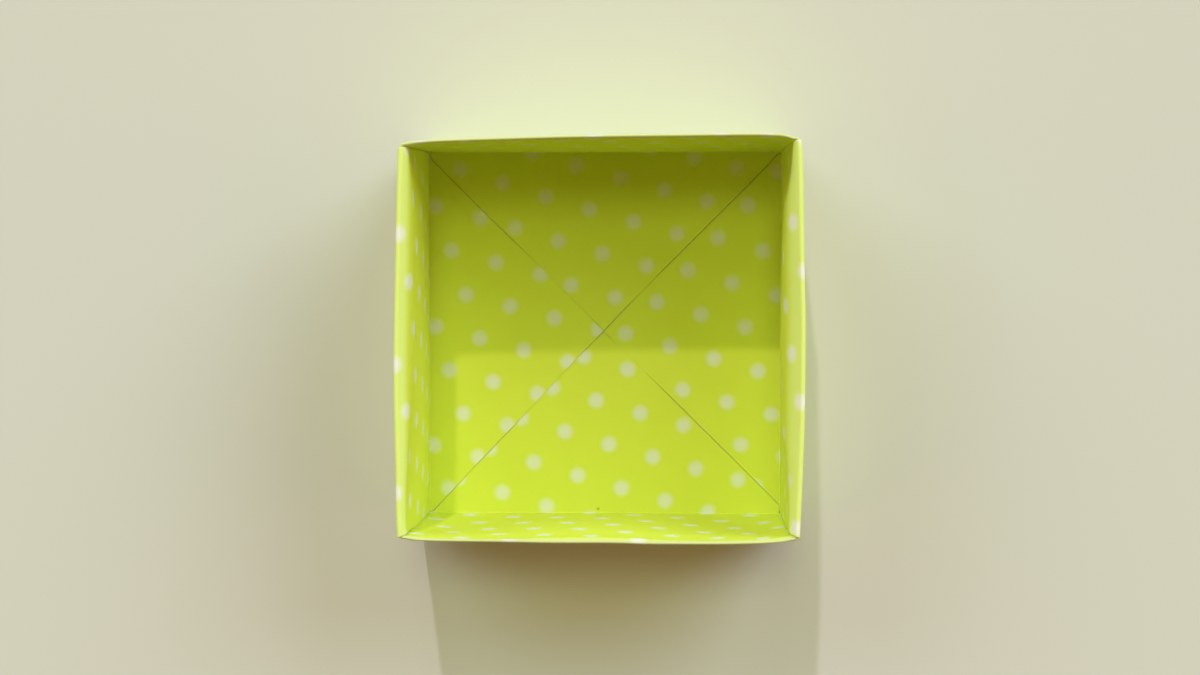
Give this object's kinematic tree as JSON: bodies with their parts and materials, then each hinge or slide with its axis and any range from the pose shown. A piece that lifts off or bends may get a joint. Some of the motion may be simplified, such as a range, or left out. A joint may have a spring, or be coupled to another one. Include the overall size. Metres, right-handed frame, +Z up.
{
  "type": "folded paper box",
  "caption": "Open square box folded from one square sheet of polka-dot paper, with low walls, to hold small things.",
  "frame": {"origin": "centre of the underside, on the surface the box stands on", "axes": "+Z up through the open top; the two wrapped walls face +X and -X, the two plain walls +Y and -Y"},
  "size_m": [0.0728, 0.0732, 0.0354],
  "materials": {
    "printed_paper": "matt lime yellow paper with white round dots on the printed side, white on the back"
  },
  "bodies": {
    "root": {"folded_sheet": "printed_paper"}
  },
  "joints": []
}
